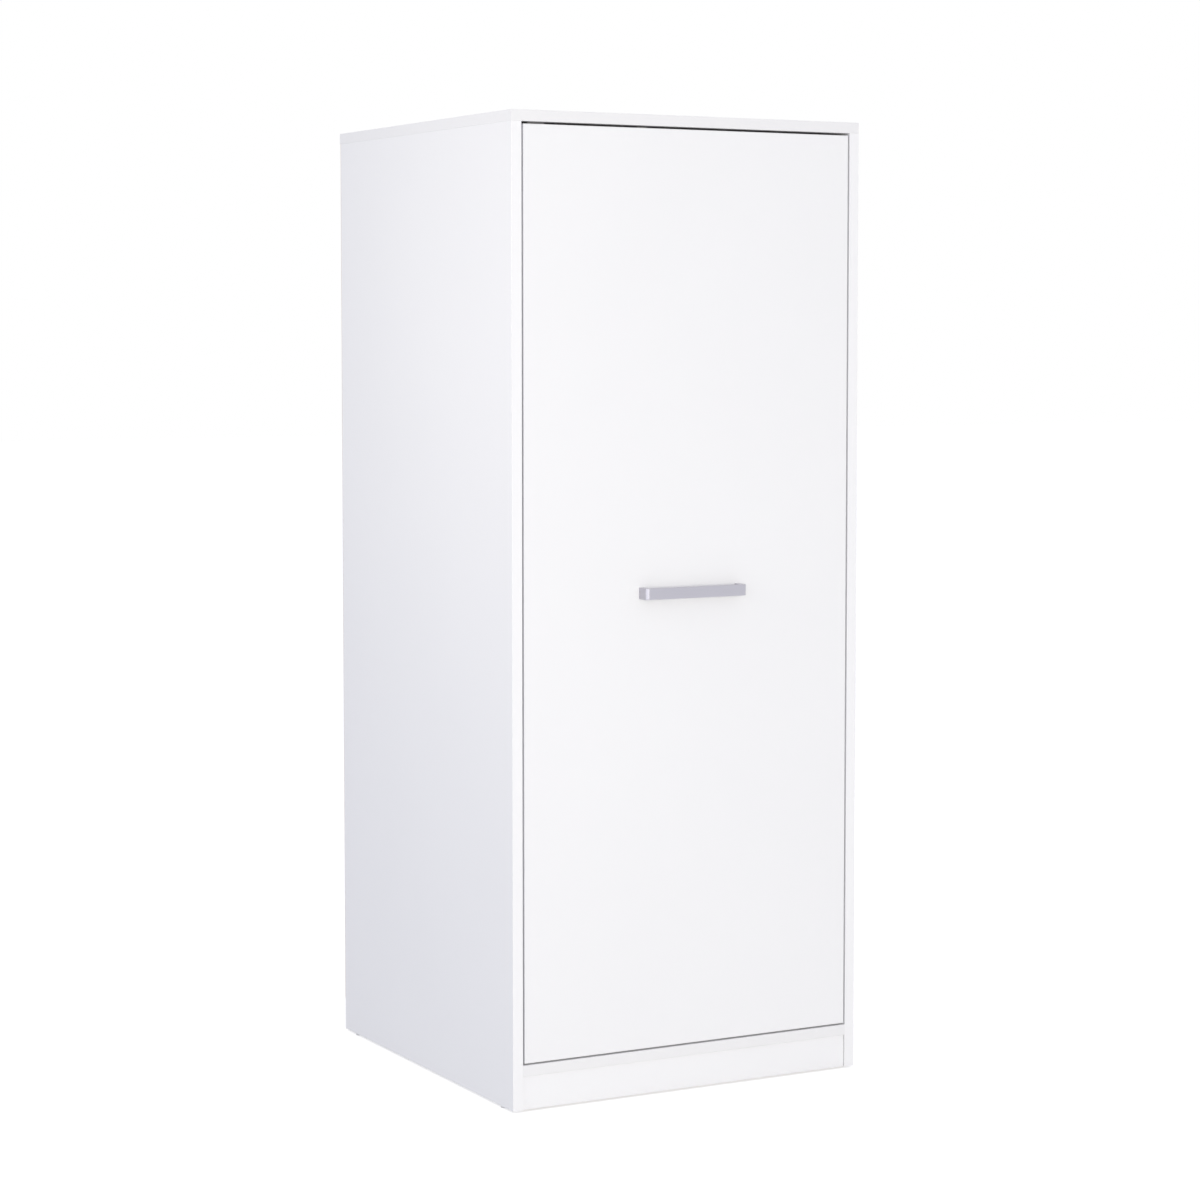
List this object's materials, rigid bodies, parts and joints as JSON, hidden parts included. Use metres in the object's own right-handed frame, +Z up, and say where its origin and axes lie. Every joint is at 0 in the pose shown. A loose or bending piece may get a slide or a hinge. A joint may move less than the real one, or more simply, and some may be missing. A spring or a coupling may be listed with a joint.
{
  "type": "broom cupboard",
  "caption": "Tall plain broom cupboard of coated board: an inset door on concealed hinges, a bow handle, shelves beside a full-height bay for brooms.",
  "frame": {"origin": "on the floor, under the middle of the cupboard's overall box, handle included", "axes": "+X to the right and +Z up as seen from the front, +Y towards the back; the door faces -Y"},
  "size_m": [0.65, 0.696, 1.6],
  "materials": {
    "white_board": "white melamine foil on chipboard, fine satin texture",
    "white_back": "thin hardboard, white lacquer towards the inside, plain brown fibre behind",
    "handle_metal": "satin, brushed along its length",
    "hinge_nickel": "nickel plated, half bright",
    "zinc_steel": "zinc plated, satin",
    "glide_plastic": "pale plastic, satin",
    "stop_rubber": "grey foamed rubber, matte"
  },
  "bodies": {
    "carcass": {"side_panel_left": "white_board", "side_panel_right": "white_board", "top_panel": "white_board", "bottom_panel": "white_board", "back_panel": "white_back", "toe_board_front": "white_board", "toe_board_rear": "white_board", "partition": "white_board", "fixed_shelf": "white_board", "loose_shelf_lower": "white_board", "loose_shelf_middle": "white_board", "loose_shelf_upper": "white_board", "shelf_pin_lower_front_left": "hinge_nickel", "shelf_pin_lower_front_right": "hinge_nickel", "shelf_pin_lower_rear_left": "hinge_nickel", "shelf_pin_lower_rear_right": "hinge_nickel", "shelf_pin_middle_front_left": "hinge_nickel", "shelf_pin_middle_front_right": "hinge_nickel", "shelf_pin_middle_rear_left": "hinge_nickel", "shelf_pin_middle_rear_right": "hinge_nickel", "shelf_pin_upper_front_left": "hinge_nickel", "shelf_pin_upper_front_right": "hinge_nickel", "shelf_pin_upper_rear_left": "hinge_nickel", "shelf_pin_upper_rear_right": "hinge_nickel", "floor_glide_front_left": "glide_plastic", "floor_glide_front_right": "glide_plastic", "floor_glide_rear_left": "glide_plastic", "floor_glide_rear_right": "glide_plastic", "door_stop_upper": "stop_rubber", "door_stop_lower": "stop_rubber", "wall_bracket": "zinc_steel", "hinge_arm_bottom": "hinge_nickel", "hinge_arm_middle": "hinge_nickel", "hinge_arm_top": "hinge_nickel", "mounting_plate_bottom": "hinge_nickel", "mounting_plate_middle": "hinge_nickel", "mounting_plate_top": "hinge_nickel", "plate_screw_bottom_low": "zinc_steel", "plate_screw_bottom_high": "zinc_steel", "plate_screw_middle_low": "zinc_steel", "plate_screw_middle_high": "zinc_steel", "plate_screw_top_low": "zinc_steel", "plate_screw_top_high": "zinc_steel"},
    "hinge_links": {"hinge_link_bottom": "zinc_steel", "hinge_link_middle": "zinc_steel", "hinge_link_top": "zinc_steel"},
    "door": {"door": "white_board", "handle": "handle_metal", "handle_screw_left": "zinc_steel", "handle_screw_right": "zinc_steel", "hinge_cup_bottom": "hinge_nickel", "hinge_cup_middle": "hinge_nickel", "hinge_cup_top": "hinge_nickel", "cup_screw_bottom_low": "zinc_steel", "cup_screw_bottom_high": "zinc_steel", "cup_screw_middle_low": "zinc_steel", "cup_screw_middle_high": "zinc_steel", "cup_screw_top_low": "zinc_steel", "cup_screw_top_high": "zinc_steel"}
  },
  "joints": [
    {"name": "hinge_links_swing", "type": "hinge", "parent": "carcass", "child": "hinge_links", "pos_m": [0.2846, -0.3133, 0.8285], "axis": [0, 0, 1], "range_deg": [0, 126]},
    {"name": "door_turn", "type": "hinge", "parent": "hinge_links", "child": "door", "pos_m": [0.2751, -0.3056, 0.8285], "axis": [0, 0, -1], "range_deg": [0, 31.5]}
  ],
  "couplings": [
    {"joint": "hinge_links_swing", "follows": "door_turn", "ratio": 4}
  ]
}
